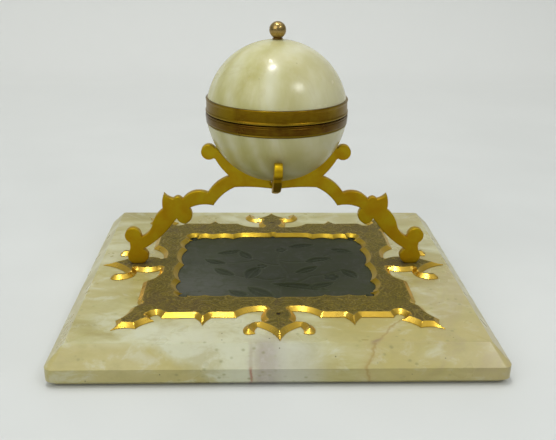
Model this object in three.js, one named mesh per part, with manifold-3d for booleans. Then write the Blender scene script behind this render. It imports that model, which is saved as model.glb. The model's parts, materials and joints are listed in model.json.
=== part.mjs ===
// Desk piece of onyx and gilt brass: a bevelled slab with a slate plaque under a cut brass frame,
// and a brass bridge and cross bracket that cradle a hinged onyx globe inkwell.
// Millimetres, +Z up, +Y to the back. The origin is the middle of the underside.
import * as THREE from 'three';
import { mergeVertices } from 'three/addons/utils/BufferGeometryUtils.js';
import Module from 'manifold-3d';

const { degToRad, lerp } = THREE.MathUtils;
const wasm = await Module();
wasm.setup();

// ---- driving dimensions ----
const gap = 0.3; // clearance between a piece and the bore or notch that holds it
const seat = 0.1; // clearance between faces that rest on each other
const arcSteps = 4;
const turnSteps = 36;
const smallSteps = 16;

const felt = { halfX: 95, halfY: 83.5, height: 0.8, radius: 4 };
const slab = { halfX: 101.5, halfY: 90, top: 17.2, upright: 9, bevel: 7.9, foot: 2.2, radius: 4 };
const recess = { halfX: 53.5, halfY: 42, depth: 4 };

const frame = { halfX: 67.3, halfY: 59.3, thickness: 2 };
const frameBottom = slab.top + seat;
const frameTop = frameBottom + frame.thickness;
const frontFleur = 1; // size of the front and back fleurs
const sideFleur = 1.13; // size of the left and right fleurs, which carry the feet

const fixing = { frameY: 58.7, footX: 73, shank: 0.9, slabBore: 1.5, pocket: 4.2, pocketTop: 5.3 };
const washerSize = { radius: 3.4, globeRadius: 3.6, thick: 0.6 };
const nutSize = { flats: 4.5, height: 2, globeRadius: 2.1, globeHeight: 2.2 };
const headSize = { radius: 2.3, height: 1.9, slotHalf: 0.4, slotReach: 3 };
const slotDepth = 0.6;
const studBottom = 2;
const footScrewRise = 5.8; // how far a foot's screw goes up into the bridge

const globe = { radius: 35, wall: 8, centre: 101.5 };
const seam = 101.8;
const band = { inner: 33.2, outer: 35.3, lowest: 96.2, highest: 108.8, halfSeam: 0.2 };
const flange = { bowl: 1, lid: 0.8 }; // thickness of the flange that each band turns inwards
const cradle = globe.radius + gap;
const plate = 4; // thickness of the bridge and of the cross bracket
const underside = 60.9; // lowest point of the cradle
const lap = 63.5; // height at which the two plates are halved into each other
const ballEnd = { out: 34.1, z: 80.5, radius: 3.9 };
const footBall = { out: 74.7, z: 35, radius: 4.2 };
const hinge = { y: 37.6, z: seam, knuckle: 1.9, pin: 0.9, halfWidth: 8, split: 3.2, pinProud: 0.6 };
const leaf = { front: 33.6, back: hinge.y - 0.5, near: 0.6, reach: 5.2 }; // near and reach are from the seam
const finial = { radius: 4.1, centre: 140.9, collar: 2.6, stud: 1 };
const well = { lip: 22.6, lipHeight: 1.4, radius: 19.8, wall: 2, floor: 80.9 };

// ---- colours ----
const onyxLook = { color: 0xcfcba4, roughness: 0.25, metalness: 0 };
const giltLook = { color: 0xa8842c, roughness: 0.35, metalness: 1 };
const darkGiltLook = { color: 0x6b5214, roughness: 0.4, metalness: 1 };
const slateLook = { color: 0x4a4d48, roughness: 0.5, metalness: 0 };
const feltLook = { color: 0x2f4030, roughness: 1, metalness: 0 };
const glassLook = { color: 0xdfe8e4, roughness: 0.05, metalness: 0 };

const object = new THREE.Group();

// ---- solids ----
function toSolid(geometry) {
  const bare = geometry.index ? geometry.toNonIndexed() : geometry.clone();
  bare.deleteAttribute('normal');
  bare.deleteAttribute('uv');
  const merged = mergeVertices(bare, 1e-4);
  const used = [];
  const index = merged.index.array;
  for (let i = 0; i < index.length; i += 3) {
    const [a, b, c] = [index[i], index[i + 1], index[i + 2]];
    if (a !== b && b !== c && c !== a) used.push(a, b, c);
  }
  const vertProperties = new Float32Array(merged.attributes.position.array);
  return new wasm.Manifold(new wasm.Mesh({ numProp: 3, vertProperties, triVerts: new Uint32Array(used) }));
}

function toGeometry(solid) {
  const mesh = solid.getMesh();
  const geometry = new THREE.BufferGeometry();
  geometry.setAttribute('position', new THREE.BufferAttribute(new Float32Array(mesh.vertProperties), 3));
  geometry.setIndex(new THREE.BufferAttribute(new Uint32Array(mesh.triVerts), 1));
  geometry.computeVertexNormals();
  return geometry;
}

function cut(solid, ...tools) {
  return tools.reduce((left, tool) => left.subtract(tool), solid);
}

function join(first, ...others) {
  return others.reduce((whole, other) => whole.add(other), first);
}

function addPiece(name, solid, look) {
  const mesh = new THREE.Mesh(toGeometry(solid), new THREE.MeshStandardMaterial(look));
  mesh.name = name;
  object.add(mesh);
}

// Upright cylinder from z = low to z = high.
function post(x, y, radius, low, high, steps = smallSteps) {
  const geometry = new THREE.CylinderGeometry(radius, radius, high - low, steps);
  geometry.rotateX(Math.PI / 2);
  geometry.translate(x, y, (low + high) / 2);
  return toSolid(geometry);
}

// Cylinder along X from x = left to x = right.
function rod(y, z, radius, left, right, steps = smallSteps) {
  const geometry = new THREE.CylinderGeometry(radius, radius, right - left, steps);
  geometry.rotateZ(Math.PI / 2);
  geometry.translate((left + right) / 2, y, z);
  return toSolid(geometry);
}

function block(low, high) {
  const size = high.map((value, axis) => value - low[axis]);
  const geometry = new THREE.BoxGeometry(...size);
  geometry.translate(...low.map((value, axis) => value + size[axis] / 2));
  return toSolid(geometry);
}

// Solid of revolution about Z. The profile is a list of [radius, z], up the outside first.
function turned(profile, steps = turnSteps) {
  const points = profile.map(([radius, z]) => new THREE.Vector2(radius, z));
  const geometry = new THREE.LatheGeometry(points, steps);
  geometry.rotateX(Math.PI / 2);
  return toSolid(geometry);
}

function closed(profile) {
  return [...profile, profile[0]];
}

function arcPoints(centreZ, radius, from, to, steps) {
  const points = [];
  for (let i = 0; i <= steps; i += 1) {
    const angle = lerp(from, to, i / steps);
    points.push([radius * Math.cos(angle), centreZ + radius * Math.sin(angle)]);
  }
  return points;
}

// ---- outlines ----
// A step is [x, y, sag]: an arc to x, y that bulges by sag to the left of its way, or a straight line.
function drawSteps(path, steps) {
  for (const [x, y, sag = 0] of steps) {
    const { x: x0, y: y0 } = path.currentPoint;
    const length = Math.hypot(x - x0, y - y0);
    const across = (2 * sag) / length;
    const middleX = (x0 + x) / 2 - (y - y0) * across;
    const middleY = (y0 + y) / 2 + (x - x0) * across;
    if (sag === 0) path.lineTo(x, y);
    else path.quadraticCurveTo(middleX, middleY, x, y);
  }
}

function stepPoints(start, steps) {
  const path = new THREE.Path();
  path.moveTo(...start);
  drawSteps(path, steps);
  return path.getPoints(arcSteps).map((point) => [point.x, point.y]);
}

function mirrored(half) {
  const other = half.slice(1, -1).reverse().map(([x, y]) => [-x, y]);
  return [...half, ...other];
}

function fourWay(quarter) {
  const back = [...quarter].reverse();
  const right = [...quarter, ...back.slice(1).map(([x, y]) => [x, -y])];
  return mirrored(right);
}

function extruded(points, depth) {
  const shape = new THREE.Shape(points.map(([x, y]) => new THREE.Vector2(x, y)));
  return new THREE.ExtrudeGeometry(shape, { depth, bevelEnabled: false });
}

function roundedRing(halfX, halfY, radius) {
  const points = [];
  for (let corner = 0; corner < 4; corner += 1) {
    const signX = corner === 0 || corner === 3 ? 1 : -1;
    const signY = corner < 2 ? 1 : -1;
    for (let i = 0; i <= arcSteps; i += 1) {
      const angle = (corner + i / arcSteps) * (Math.PI / 2);
      const x = signX * (halfX - radius) + radius * Math.cos(angle);
      const y = signY * (halfY - radius) + radius * Math.sin(angle);
      points.push([x, y]);
    }
  }
  return points;
}

// Closed solid through a stack of convex rings, each { z, halfX, halfY, radius }.
function stacked(rings) {
  const outlines = rings.map((ring) => roundedRing(ring.halfX, ring.halfY, ring.radius));
  const count = outlines[0].length;
  const positions = [];
  outlines.forEach((outline, level) => {
    for (const [x, y] of outline) positions.push(x, y, rings[level].z);
  });
  const index = [];
  for (let level = 0; level < rings.length - 1; level += 1) {
    for (let i = 0; i < count; i += 1) {
      const a = level * count + i;
      const b = level * count + ((i + 1) % count);
      index.push(a, b, b + count, a, b + count, a + count);
    }
  }
  const top = (rings.length - 1) * count;
  for (let i = 1; i < count - 1; i += 1) {
    index.push(0, i + 1, i, top, top + i, top + i + 1);
  }
  const geometry = new THREE.BufferGeometry();
  geometry.setAttribute('position', new THREE.Float32BufferAttribute(positions, 3));
  geometry.setIndex(index);
  return toSolid(geometry);
}

// ---- base: felt, onyx slab and slate plaque ----
function slabRing(z, inset) {
  return { z, halfX: slab.halfX - inset, halfY: slab.halfY - inset, radius: slab.radius - inset / 3 };
}

function makeBase() {
  const feltRing = { halfX: felt.halfX, halfY: felt.halfY, radius: felt.radius };
  addPiece('base_felt', stacked([{ ...feltRing, z: 0 }, { ...feltRing, z: felt.height }]), feltLook);

  const stone = stacked([
    slabRing(felt.height, slab.foot),
    slabRing(felt.height + slab.foot, 0),
    slabRing(slab.upright, 0),
    slabRing(slab.upright + 0.8, 0.4),
    slabRing(slab.top - 0.5, slab.bevel - 0.9),
    slabRing(slab.top, slab.bevel),
  ]);
  const low = [-recess.halfX, -recess.halfY, slab.top - recess.depth];
  const bed = block(low, [recess.halfX, recess.halfY, slab.top + 1]);
  const bores = fixingPlaces().flatMap(([x, y]) => [
    post(x, y, fixing.slabBore, 0, slab.top + 1),
    post(x, y, fixing.pocket, 0, fixing.pocketTop),
  ]);
  addPiece('onyx_base', cut(stone, bed, ...bores), onyxLook);

  const plaqueLow = [gap - recess.halfX, gap - recess.halfY, slab.top - recess.depth + seat];
  const plaque = block(plaqueLow, [recess.halfX - gap, recess.halfY - gap, slab.top]);
  addPiece('slate_panel', plaque, slateLook);
}

function fixingPlaces() {
  return [[0, -fixing.frameY], [0, fixing.frameY], [-fixing.footX, 0], [fixing.footX, 0]];
}

// ---- frame plate ----
// Half a fleur from its tip to the end of its notch: [sideways, out past the straight edge].
function fleurHalf() {
  return stepPoints([0, 21.4], [
    [9.8, 8.8, -1.7],
    [10.8, 14.9, -0.7],
    [16.2, 11, 2.9],
    [7.2, 4.8, 2.4],
    [6.3, -5.8, 1.3],
    [19.5, 0, -2.3],
  ]);
}

function frameOutline() {
  const front = fleurHalf().map(([side, out]) => [side * frontFleur, frame.halfY + out * frontFleur]);
  const right = fleurHalf().map(([side, out]) => [frame.halfX + out * sideFleur, side * sideFleur]);
  const corner = stepPoints([20.5, frame.halfY], [
    [30.9, 59.3],
    [34.8, 66.6, -0.5],
    [38.8, 59.3, -0.5],
    [54, 59.6],
    [59.6, 59, -3],
    [57.1, 62.4],
    [64.6, 69.3, -0.8],
    [75.4, 70.8, -1.4],
    [74.6, 62.2, -1.2],
    [69.4, 50.6, -1.1],
    [66.2, 46.8],
    [67.3, 43.6],
    [67.3, 24],
  ]);
  return fourWay([...front, ...corner, ...right.reverse()]);
}

function windowOutline() {
  return fourWay(stepPoints([0, 41], [
    [1.6, 39.5],
    [17, 39.6],
    [23, 36.6, 0.9],
    [35.3, 36.6, 2.7],
    [45.4, 36.2, 2.5],
    [46, 33.4, 2],
    [48.4, 31.9, 1.4],
    [48.6, 20.5, 2.3],
    [48.6, 0, 2.6],
  ]));
}

function makeFrame() {
  const sheet = extruded(frameOutline(), frame.thickness);
  sheet.translate(0, 0, frameBottom);
  const window = extruded(windowOutline(), 3 * frame.thickness);
  window.translate(0, 0, frameBottom - frame.thickness);
  const bores = fixingPlaces().map(([x, y]) => post(x, y, fixing.shank + gap, frameBottom - 1, frameTop + 1));
  addPiece('frame_plate', cut(toSolid(sheet), toSolid(window), ...bores), giltLook);
}

// ---- bridge and cross bracket ----
function ballEndAndCradle(path) {
  path.absarc(ballEnd.out, ballEnd.z, ballEnd.radius, degToRad(-125), degToRad(145));
  path.absarc(0, globe.centre, cradle, degToRad(-32), -Math.PI / 2, true);
}

function halfPoints(path) {
  const points = path.getPoints(arcSteps + 1).map((point) => [point.x, point.y]);
  points[points.length - 1][0] = 0;
  return points;
}

function bridgeOutline() {
  const path = new THREE.Path();
  path.moveTo(0, underside);
  drawSteps(path, [
    [21, 62, 0.6],
    [32.2, 52, 1.2],
    [44.8, 50.5, 1.2],
    [47, 41.8, -2.5],
    [51.4, 44.8, -0.8],
    [53, 42.9],
    [69.6, 27.5, -1.3],
    [70, frameTop + seat, -2.8],
    [75.8, frameTop + seat],
    [76.8, 26.8, -1.6],
    [76.6, 31.2, 0.3],
  ]);
  path.absarc(footBall.out, footBall.z, footBall.radius, degToRad(-63), degToRad(175));
  drawSteps(path, [
    [70.1, 34.2],
    [64.3, 41, 1],
    [58.4, 49.8, -1.1],
    [57.7, 58.3, -0.6],
    [53, 55.4, 0.5],
    [48.2, 55.3, -1.3],
    [34.9, 58.8, -2.4],
    [23.7, 67.8, -1.3],
    [31, 77.1, -0.5],
  ]);
  ballEndAndCradle(path);
  return mirrored(halfPoints(path));
}

function bracketOutline() {
  const path = new THREE.Path();
  path.moveTo(0, underside);
  path.absarc(0, globe.centre, globe.centre - underside, -Math.PI / 2, degToRad(-44));
  path.lineTo(31, 77.1);
  ballEndAndCradle(path);
  return mirrored(halfPoints(path));
}

function makeCradle() {
  const bore = post(0, 0, fixing.shank + gap, underside - 1, globe.centre);
  const halfNotch = plate / 2 + gap;

  const bridge = extruded(bridgeOutline(), plate);
  bridge.rotateX(Math.PI / 2);
  bridge.translate(0, plate / 2, 0);
  const upperNotch = block([-halfNotch, -plate, lap], [halfNotch, plate, globe.centre]);
  const screwBores = [-1, 1].map((side) => {
    return post(side * fixing.footX, 0, fixing.shank + gap, frameTop - 1, frameTop + footScrewRise + 2 * gap);
  });
  addPiece('bridge_plate', cut(toSolid(bridge), upperNotch, bore, ...screwBores), giltLook);

  const bracket = extruded(bracketOutline(), plate);
  bracket.rotateX(Math.PI / 2);
  bracket.rotateZ(Math.PI / 2);
  bracket.translate(-plate / 2, 0, 0);
  const lowerNotch = block([-plate, -halfNotch, underside - 1], [plate, halfNotch, lap + gap]);
  addPiece('cross_bracket', cut(toSolid(bracket), lowerNotch, bore), giltLook);
}

// ---- fasteners ----
function hexNut(x, y, bore, low, high) {
  const body = post(x, y, nutSize.flats / Math.sqrt(3), low, high, 6);
  return cut(body, post(x, y, bore, low - 1, high + 1));
}

function washer(x, y, bore, radius, low, high) {
  return cut(post(x, y, radius, low, high), post(x, y, bore, low - 1, high + 1));
}

// Screwdriver slot in the head of a screw, open towards z = high or z = low.
function slot(x, low, high) {
  const { slotReach: reach, slotHalf: half } = headSize;
  return block([x - reach, -half, low], [x + reach, half, high]);
}

function makeFasteners() {
  const top = fixing.pocketTop - seat;
  const under = top - washerSize.thick;
  const headTop = under - seat;
  const headBottom = headTop - headSize.height;
  const bore = fixing.shank + gap;
  for (const [end, y] of [['front', -fixing.frameY], ['back', fixing.frameY]]) {
    addPiece(`frame_stud_${end}`, post(0, y, fixing.shank, studBottom, frameTop - 2 * seat), darkGiltLook);
    addPiece(`frame_washer_${end}`, washer(0, y, bore, washerSize.radius, under, top), giltLook);
    addPiece(`frame_nut_${end}`, hexNut(0, y, bore, under - seat - nutSize.height, under - seat), giltLook);
  }
  for (const [side, x] of [['left', -fixing.footX], ['right', fixing.footX]]) {
    const head = post(x, 0, headSize.radius, headBottom, headTop);
    const shank = post(x, 0, fixing.shank, headTop - seat, frameTop + footScrewRise);
    const screw = cut(join(head, shank), slot(x, headBottom - 1, headBottom + slotDepth));
    addPiece(`foot_screw_${side}`, screw, darkGiltLook);
    addPiece(`foot_washer_${side}`, washer(x, 0, bore, washerSize.radius, under, top), giltLook);
  }
}

// ---- lower half of the globe ----
const innerRadius = globe.radius - globe.wall;
const floorRadius = 4.5; // flat spot inside each half, for the washer
const floorDrop = Math.sqrt(innerRadius ** 2 - floorRadius ** 2);
const floorAngle = Math.acos(floorRadius / innerRadius);
const boreRadius = 1.4;

// Angle on a sphere of the given radius about the globe's centre at height z.
function angleAt(radius, z) {
  return Math.asin((z - globe.centre) / radius);
}

function makeBowl() {
  const rimTop = seam - band.halfSeam - flange.bowl - gap;
  const poleAngle = -Math.acos(boreRadius / globe.radius);
  addPiece('bowl_onyx', turned(closed([
    ...arcPoints(globe.centre, globe.radius, poleAngle, angleAt(globe.radius, band.lowest - seat), 9),
    [band.inner - gap, band.lowest - seat],
    [band.inner - gap, rimTop],
    ...arcPoints(globe.centre, innerRadius, angleAt(innerRadius, rimTop), -floorAngle, 7),
    [boreRadius, globe.centre - floorDrop],
  ])), onyxLook);

  const top = seam - band.halfSeam;
  addPiece('bowl_rim_band', turned(closed([
    [band.inner, band.lowest],
    [band.outer - 0.6, band.lowest],
    [band.outer - 0.2, band.lowest + 1.2],
    [band.outer, top - 0.9],
    [band.outer - 0.2, top],
    [well.lip - 1.6, top],
    [well.lip - 1.6, top - flange.bowl],
    [band.inner, top - flange.bowl],
  ])), darkGiltLook);

  const lipBottom = top + seat;
  const lipTop = lipBottom + well.lipHeight;
  addPiece('ink_liner', turned([
    [0, well.floor],
    [12, well.floor + 0.4],
    [17, well.floor + 3.4],
    [19.2, well.floor + 6.6],
    [well.radius, well.floor + 9.6],
    [well.radius, lipBottom],
    [well.lip, lipBottom],
    [well.lip, lipTop],
    [well.radius - well.wall, lipTop],
    [well.radius - well.wall, well.floor + 9.8],
    [17.2, well.floor + 7],
    [15.4, well.floor + 4.8],
    [11.4, well.floor + 2.4],
    [0, well.floor + 2],
  ]), glassLook);

  const bore = fixing.shank + gap;
  const washerBottom = globe.centre - floorDrop + seat;
  const washerTop = washerBottom + washerSize.thick;
  const headBottom = washerTop + seat;
  const headTop = headBottom + headSize.height;
  const nutTop = underside - seat;
  const nutBottom = nutTop - nutSize.globeHeight;
  const shank = post(0, 0, fixing.shank, nutBottom - gap, headBottom + seat);
  const plainHead = post(0, 0, headSize.radius, headBottom, headTop);
  const head = cut(plainHead, slot(0, headTop - slotDepth, headTop + 1));
  addPiece('globe_screw', join(shank, head), darkGiltLook);
  addPiece('globe_washer', washer(0, 0, bore, washerSize.globeRadius, washerBottom, washerTop), giltLook);
  addPiece('globe_nut', washer(0, 0, bore, nutSize.globeRadius, nutBottom, nutTop), darkGiltLook);
}

// ---- upper half of the globe ----
function makeLid() {
  const rimBottom = seam + band.halfSeam + flange.lid + gap;
  const insideStart = angleAt(innerRadius, rimBottom + 1.5);
  const poleAngle = Math.acos(boreRadius / globe.radius);
  addPiece('lid_onyx', turned(closed([
    [innerRadius * Math.cos(angleAt(innerRadius, rimBottom)), rimBottom],
    [band.inner - gap, rimBottom],
    [band.inner - gap, band.highest + seat],
    ...arcPoints(globe.centre, globe.radius, angleAt(globe.radius, band.highest + seat), poleAngle, 9),
    [boreRadius, globe.centre + floorDrop],
    ...arcPoints(globe.centre, innerRadius, floorAngle, insideStart, 6),
  ])), onyxLook);

  const bottom = seam + band.halfSeam;
  const flangeInner = innerRadius + 0.5;
  addPiece('lid_rim_band', turned(closed([
    [flangeInner, bottom],
    [band.outer - 0.2, bottom],
    [band.outer + 0.1, bottom + 0.8],
    [band.outer - 0.2, bottom + 1.5],
    [band.outer - 0.3, band.highest - 1.2],
    [band.outer - 0.1, band.highest],
    [band.inner, band.highest],
    [band.inner, bottom + flange.lid],
    [flangeInner, bottom + flange.lid],
  ])), giltLook);

  const roof = globe.centre + floorDrop - seat;
  const nutTop = roof - washerSize.thick - seat;
  const nutBottom = nutTop - nutSize.height;
  const studFoot = nutBottom - gap;
  const collarBottom = globe.centre + globe.radius + seat;
  const collarHeight = 0.5;
  const neck = finial.collar - 0.8;
  const ballStart = -Math.acos(neck / finial.radius);
  addPiece('finial_ball', turned([
    [0, studFoot],
    [finial.stud, studFoot],
    [finial.stud, collarBottom],
    [finial.collar, collarBottom],
    [finial.collar, collarBottom + collarHeight],
    ...arcPoints(finial.centre, finial.radius, ballStart, Math.PI / 2, 8),
  ].map(([radius, z], i, all) => (i === all.length - 1 ? [0, z] : [radius, z])), 24), giltLook);

  const bore = finial.stud + gap;
  const washerBottom = roof - washerSize.thick;
  addPiece('finial_washer', washer(0, 0, bore, washerSize.globeRadius, washerBottom, roof), giltLook);
  addPiece('finial_nut', hexNut(0, 0, bore, nutBottom, nutTop), giltLook);
}

// ---- hinge at the back of the seam ----
function makeHinge() {
  const { y, z, knuckle, pin, halfWidth, split, pinProud } = hinge;
  const clear = knuckle + gap;
  const bandsOutside = post(0, 0, band.outer + 0.1 + gap, z - 2 * leaf.reach, z + 2 * leaf.reach, 72);
  const bore = rod(y, z, pin + gap, -2 * halfWidth, 2 * halfWidth);

  const lowerLeaf = block([-halfWidth, leaf.front, z - leaf.reach], [halfWidth, leaf.back, z - leaf.near]);
  const lowerKnuckles = [rod(y, z, knuckle, -halfWidth, -split), rod(y, z, knuckle, split, halfWidth)];
  const lidSwing = rod(y, z, clear, -split - 0.01, split + 0.01);
  const lower = join(cut(lowerLeaf, lidSwing), ...lowerKnuckles);
  addPiece('bowl_hinge_leaf', cut(lower, bandsOutside, bore), darkGiltLook);

  const upperLeaf = block([-halfWidth, leaf.front, z + leaf.near], [halfWidth, leaf.back, z + leaf.reach]);
  const [near, far] = [split - gap, halfWidth + 1];
  const sideSwings = [rod(y, z, clear, -far, -near), rod(y, z, clear, near, far)];
  const middle = rod(y, z, knuckle, gap - split, split - gap);
  const upper = join(cut(upperLeaf, ...sideSwings), middle);
  addPiece('lid_hinge_leaf', cut(upper, bandsOutside, bore), giltLook);

  const pinEnd = halfWidth + pinProud;
  addPiece('hinge_pin', rod(y, z, pin, -pinEnd, pinEnd), darkGiltLook);
}

makeBase();
makeFrame();
makeCradle();
makeFasteners();
makeBowl();
makeLid();
makeHinge();

export default object;
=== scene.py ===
"""Looks of the onyx and gilt-brass desk stand with its globe inkwell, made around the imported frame."""
import json
import math

import bpy
import numpy as np
from mathutils import Matrix, Vector, kdtree
from mathutils.geometry import delaunay_2d_cdt


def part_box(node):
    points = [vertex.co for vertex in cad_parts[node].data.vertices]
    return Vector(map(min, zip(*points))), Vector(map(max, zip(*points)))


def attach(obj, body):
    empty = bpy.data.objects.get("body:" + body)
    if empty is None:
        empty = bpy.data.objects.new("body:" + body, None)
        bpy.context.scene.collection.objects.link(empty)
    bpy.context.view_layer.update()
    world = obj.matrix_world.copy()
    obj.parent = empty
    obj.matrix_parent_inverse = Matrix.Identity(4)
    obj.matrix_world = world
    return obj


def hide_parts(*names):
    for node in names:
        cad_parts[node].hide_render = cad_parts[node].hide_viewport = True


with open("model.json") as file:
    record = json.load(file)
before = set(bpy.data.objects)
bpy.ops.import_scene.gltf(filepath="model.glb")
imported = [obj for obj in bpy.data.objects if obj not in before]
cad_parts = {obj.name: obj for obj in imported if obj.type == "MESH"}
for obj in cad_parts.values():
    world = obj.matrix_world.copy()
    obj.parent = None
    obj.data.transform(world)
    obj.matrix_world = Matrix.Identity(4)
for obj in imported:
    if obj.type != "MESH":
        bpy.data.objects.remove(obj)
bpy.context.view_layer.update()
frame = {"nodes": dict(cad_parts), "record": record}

MM = 0.001


def box_mm(node):
    """Lowest and highest corner of a CAD node, in millimetres."""
    low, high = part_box(node)
    return np.array(low) / MM, np.array(high) / MM


# ---------------------------------------------------------------- sizes, in millimetres
SLAB_LOW, SLAB_HIGH = box_mm("onyx_base")
HALF_X, HALF_Y = SLAB_HIGH[0], SLAB_HIGH[1]
SLAB_BOTTOM, SLAB_TOP = SLAB_LOW[2], SLAB_HIGH[2]
UPRIGHT_TOP = 9.0  # where the upright sides meet the broad bevel
BEVEL = 7.9  # how far in the broad bevel goes
FOOT_BEVEL = 2.2
RECESS_X, RECESS_Y, RECESS_DEPTH = 53.5, 42.0, 4.0  # half sizes and depth of the plaque's recess

FRAME_BOTTOM, FRAME_TOP = box_mm("frame_plate")[0][2], box_mm("frame_plate")[1][2]
FRAME_X, FRAME_Y = 67.3, 59.3  # the frame's straight sides, without the fleurs
SIDE_FLEUR = 1.13  # size of the side fleurs against the front and back ones
FRAME_BEVEL = 2.3
FRAME_LAND = 0.3  # the upright edge left under the bevel
STUD_RADIUS, STUD_HOLE = 0.9, 1.1
STUD_Y = box_mm("frame_stud_back")[1][1] - STUD_RADIUS

PLATE_HALF = box_mm("bridge_plate")[1][1]  # half the thickness of the bridge and the bracket
SOFTEN = 0.3  # rounding of their edges
GLOBE_RADIUS, GLOBE_WALL, GLOBE_CENTRE = 35.0, 8.0, 101.5
BAND_SEAT = 32.9  # radius of the steps in the globe that the bands sit on
CRADLE = GLOBE_RADIUS + 0.3
UNDERSIDE = 60.9  # the lowest point of the bridge's crown
LAP = 63.5  # where the bridge and the bracket are halved into each other
NOTCH = PLATE_HALF + 0.3
HINGE = np.array(frame["record"]["behaviour"]["joints"][0]["pos_m"]) / MM
SEAM = HINGE[2]


# ---------------------------------------------------------------- camera, lights and stage
CAMERA_PLACE = np.array([-12.3, -365.2, 182.0])
CAMERA_PITCH, CAMERA_YAW, CAMERA_ROLL = math.radians(20.78), math.radians(-2.15), math.radians(-0.80)
LENS = 48.1


def make_camera():
    forward = Vector(
        (
            -math.sin(CAMERA_YAW) * math.cos(CAMERA_PITCH),
            math.cos(CAMERA_YAW) * math.cos(CAMERA_PITCH),
            -math.sin(CAMERA_PITCH),
        )
    )
    right = Vector((math.cos(CAMERA_YAW), math.sin(CAMERA_YAW), 0))
    down = forward.cross(right)
    turned_right = math.cos(CAMERA_ROLL) * right + math.sin(CAMERA_ROLL) * down
    turned_down = math.cos(CAMERA_ROLL) * down - math.sin(CAMERA_ROLL) * right
    data = bpy.data.cameras.new("camera")
    data.lens = LENS
    data.clip_start = 0.01
    camera = bpy.data.objects.new("camera", data)
    bpy.context.scene.collection.objects.link(camera)
    turn = Matrix((turned_right, -turned_down, -forward)).transposed()
    camera.matrix_world = Matrix.Translation(Vector(CAMERA_PLACE * MM)) @ turn.to_4x4()
    bpy.context.scene.camera = camera


def area_light(name, place, size, power, colour):
    data = bpy.data.lights.new(name, "AREA")
    data.shape = "RECTANGLE"
    data.size, data.size_y = size
    data.energy = power
    data.color = colour
    light = bpy.data.objects.new(name, data)
    light.location = place
    aim = Vector((0, 0, 0.05)) - Vector(place)
    light.rotation_euler = aim.to_track_quat("-Z", "Y").to_euler()
    bpy.context.scene.collection.objects.link(light)


def make_lights():
    area_light("overhead_light", (-0.13, -0.13, 1.3), (0.12, 0.15), 3.6, (1, 1, 0.98))
    area_light("second_overhead_light", (-0.16, 0.14, 1.3), (0.07, 0.10), 0.9, (1, 1, 0.98))
    area_light("side_light", (0.62, -0.62, 0.95), (0.30, 0.22), 2.2, (0.97, 0.99, 1))
    area_light("front_light", (-0.75, -0.85, 0.9), (1.1, 0.9), 5.0, (1, 0.99, 0.97))
    area_light("back_light", (0.0, 0.35, 1.5), (1.6, 0.6), 3.4, (1, 1, 1))
    world = bpy.data.worlds.new("world")
    world.use_nodes = True
    tree = world.node_tree
    place = tree.nodes.new("ShaderNodeTexCoord")
    split = tree.nodes.new("ShaderNodeSeparateXYZ")
    ramp = tree.nodes.new("ShaderNodeValToRGB")
    ramp.color_ramp.elements[0].position = 0.0
    ramp.color_ramp.elements[0].color = (0.37, 0.385, 0.375, 1)
    ramp.color_ramp.elements[1].position = 0.75
    ramp.color_ramp.elements[1].color = (0.95, 0.97, 0.96, 1)
    ramp.color_ramp.elements.new(0.3).color = (0.50, 0.515, 0.505, 1)
    tree.links.new(place.outputs["Generated"], split.inputs["Vector"])
    tree.links.new(split.outputs["Z"], ramp.inputs["Fac"])
    tree.links.new(ramp.outputs["Color"], tree.nodes["Background"].inputs["Color"])
    tree.nodes["Background"].inputs["Strength"].default_value = 0.62
    bpy.context.scene.world = world
    bpy.context.scene.view_settings.view_transform = "Standard"


def make_stage():
    """A pale table that sweeps up into a pale wall."""
    half_width, front, bend, wall, radius = 9.0, -9.0, 0.62, 1.8, 0.25
    profile = [(front, 0.0), (bend, 0.0)]
    for i in range(1, 17):
        angle = math.pi / 2 * i / 16
        profile.append((bend + radius * math.sin(angle), radius - radius * math.cos(angle)))
    profile.append((bend + radius, wall))
    verts = [(side * half_width, y, z) for y, z in profile for side in (-1, 1)]
    faces = [(2 * i, 2 * i + 1, 2 * i + 3, 2 * i + 2) for i in range(len(profile) - 1)]
    mesh = bpy.data.meshes.new("floor")
    mesh.from_pydata(verts, [], faces)
    mesh.shade_smooth()
    floor = bpy.data.objects.new("floor", mesh)
    bpy.context.scene.collection.objects.link(floor)
    floor.data.materials.append(floor_material())


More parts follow.
